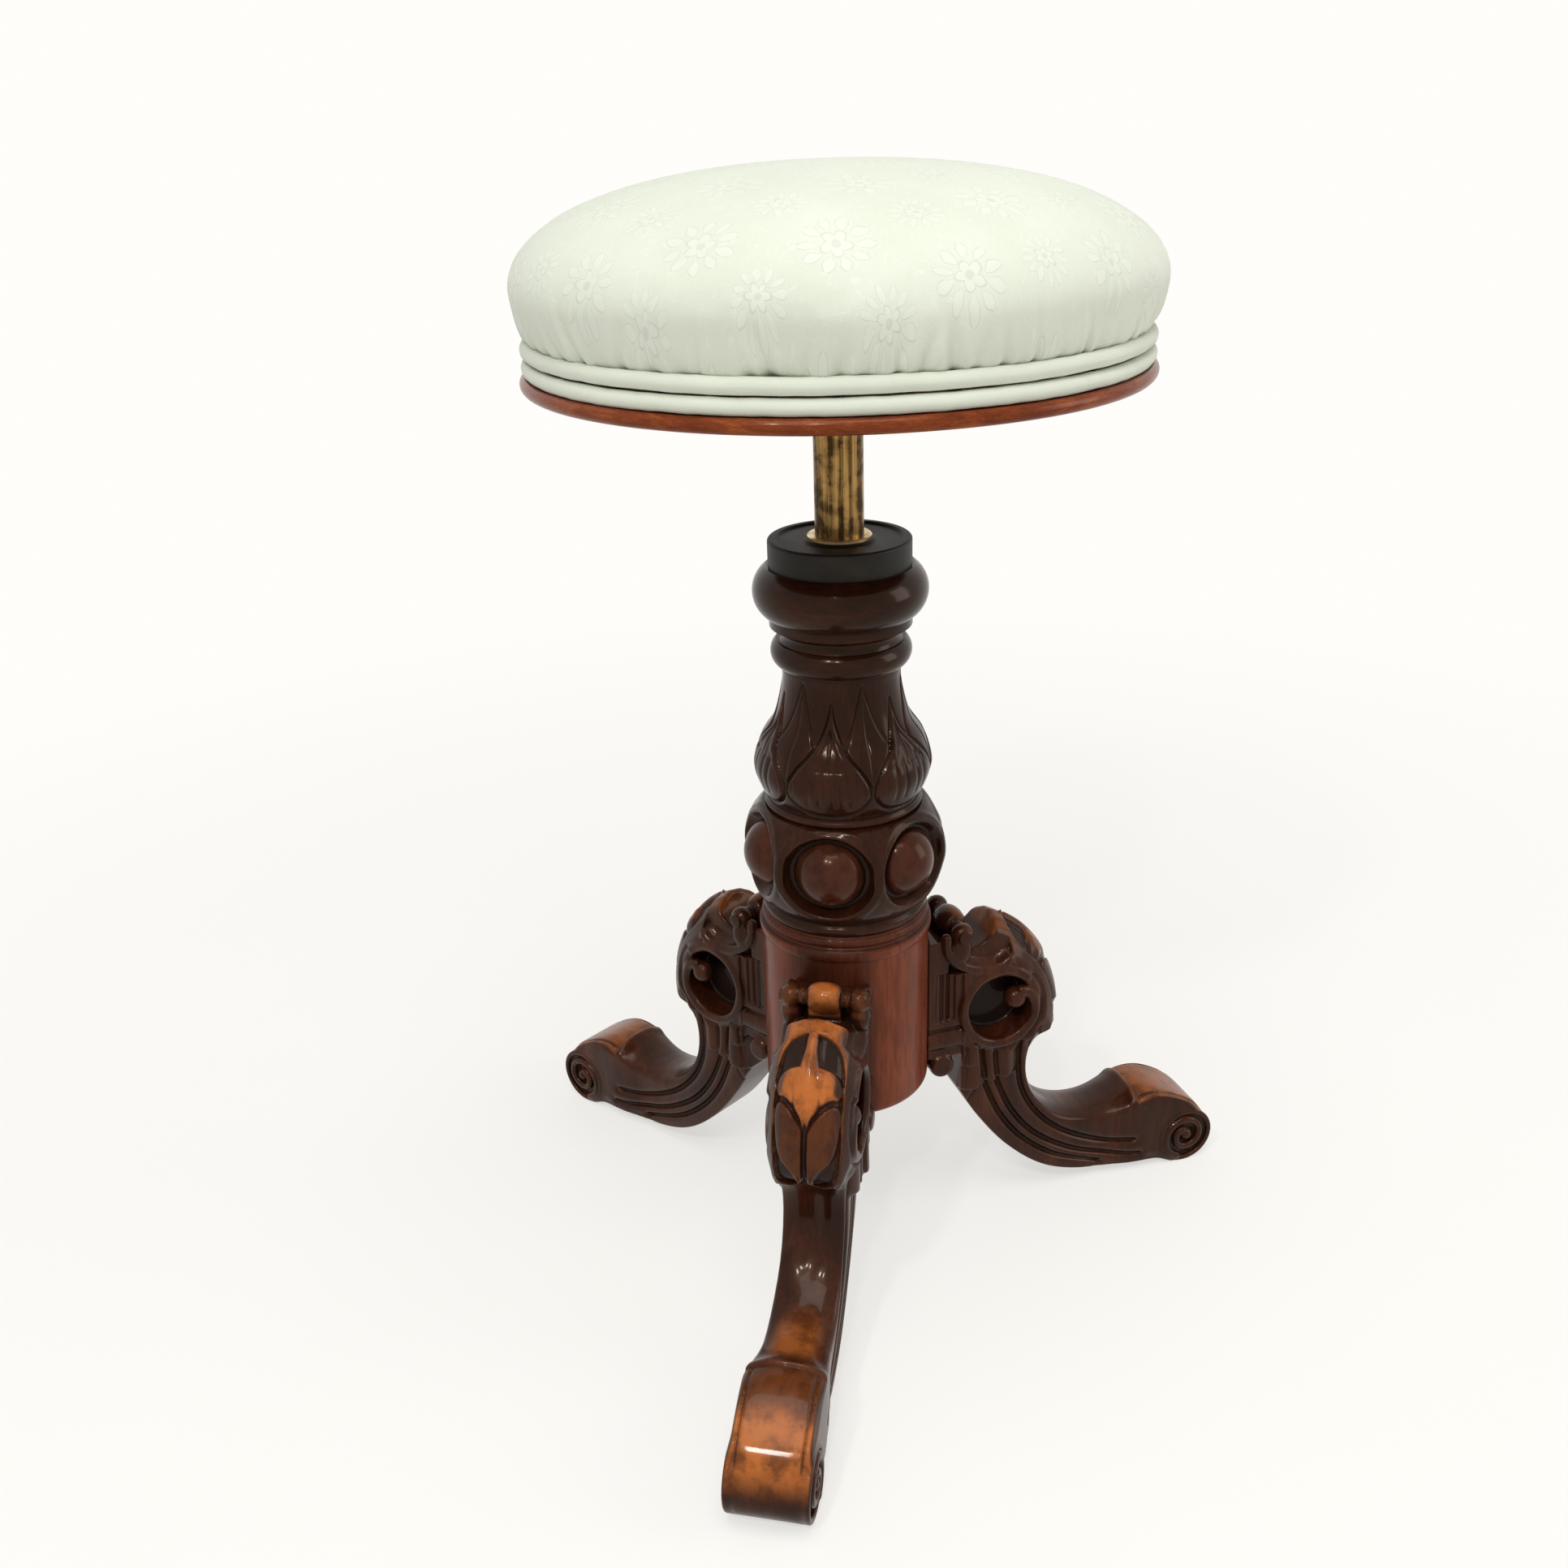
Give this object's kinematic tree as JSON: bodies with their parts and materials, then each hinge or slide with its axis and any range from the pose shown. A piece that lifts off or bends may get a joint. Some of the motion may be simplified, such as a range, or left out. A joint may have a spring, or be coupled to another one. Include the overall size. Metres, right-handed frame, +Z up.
{
  "type": "revolving piano stool",
  "caption": "Round upholstered piano stool on a carved column with scroll legs; the seat rises and falls as it turns on a hidden screw.",
  "frame": {"origin": "on the column's axis at floor level", "axes": "+Z up along the column; -Y along the front leg; +X to the right of a viewer who faces the front leg"},
  "size_m": [0.43, 0.401, 0.616],
  "materials": {
    "carved_walnut": "hand-carved walnut, french polished, golden where feet and knees have worn",
    "pillar_walnut": "turned and carved walnut, dark french polish",
    "drum_walnut": "turned walnut drum, french polished",
    "ebonised_cap": "ebonised, matt with rubbed edges",
    "rim_mahogany": "polished mahogany moulding",
    "beech": "bare beech",
    "greased_fibre": "greased lignum ring",
    "aged_brass": "aged drawn brass tube with vertical drag marks",
    "brass_bush": "turned brass, bright where it is rubbed",
    "iron": "black japanned iron",
    "steel": "dull bright steel",
    "screw_steel": "oiled steel screw",
    "blued_steel": "blued cut tacks",
    "damask": "pale duck-egg damask, satin figure on a matt ground",
    "damask_cord": "the same damask folded over cord",
    "cotton_wadding": "cotton wadding",
    "curled_hair": "curled horsehair in calico",
    "hessian": "plain jute hessian",
    "jute_web": "herringbone jute webbing"
  },
  "bodies": {
    "base": {"leg_drum": "drum_walnut", "roundel_block": "pillar_walnut", "vase": "pillar_walnut", "capital": "pillar_walnut", "column_cap": "ebonised_cap", "guide_bush": "brass_bush", "leg_dowels": "beech", "base_plate": "iron", "base_plate_screws": "steel", "lifting_screw": "screw_steel", "screw_lock_nut": "iron", "screw_jam_nut": "iron", "stop_washer": "steel", "split_pin": "steel", "leg_front": "carved_walnut", "leg_right": "carved_walnut", "leg_left": "carved_walnut"},
    "riser": {"steady_ring": "greased_fibre"},
    "seat": {"stem_tube": "aged_brass", "lift_nut": "brass_bush", "nut_pins": "steel", "ring_clip": "steel", "seat_plate": "iron", "stem_pin": "steel", "seat_plate_screws": "steel", "seat_board": "rim_mahogany", "seat_ring": "beech", "ring_screws": "steel", "cross_rail": "beech", "webbing_lower": "jute_web", "webbing_upper": "jute_web", "hessian": "hessian", "stuffing_pad": "curled_hair", "wadding": "cotton_wadding", "seat_cover": "damask", "piping_upper": "damask_cord", "piping_lower": "damask_cord", "cover_tacks": "blued_steel"}
  },
  "joints": [
    {"name": "seat_lift", "type": "slide", "parent": "base", "child": "riser", "axis": [0, 0, 1], "range_m": [-0.0699, 0.05085]},
    {"name": "seat_turn", "type": "hinge", "parent": "riser", "child": "seat", "pos_m": [0, 0, 0.2], "axis": [0, 0, 1], "range_deg": [-3960, 2880]}
  ],
  "couplings": [
    {"joint": "seat_lift", "follows": "seat_turn", "m_per_rad": 0.0010106}
  ]
}
